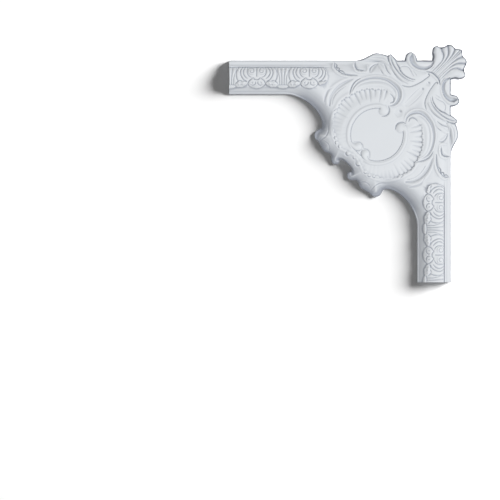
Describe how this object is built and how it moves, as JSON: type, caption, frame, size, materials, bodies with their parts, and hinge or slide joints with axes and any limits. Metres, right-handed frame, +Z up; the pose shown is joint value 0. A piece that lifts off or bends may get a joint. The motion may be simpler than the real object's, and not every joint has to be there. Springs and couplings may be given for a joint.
{
  "type": "wall moulding corner piece",
  "caption": "Carved rococo corner for a wall panel frame: two moulding arms at a right angle, a round disc field with C scrolls, and a shell on the corner.",
  "frame": {"origin": "on the flat back face, behind the middle of the plain disc, 100 mm in from both straight outer edges", "axes": "+Z up the wall, +X to the right along the wall, +Y into the wall; the carved face looks along -Y"},
  "size_m": [0.3214, 0.0206, 0.3214],
  "materials": {
    "white_primer": "smooth white primer on dense rigid foam, satin to matte"
  },
  "bodies": {
    "root": {"corner_piece": "white_primer"}
  },
  "joints": []
}
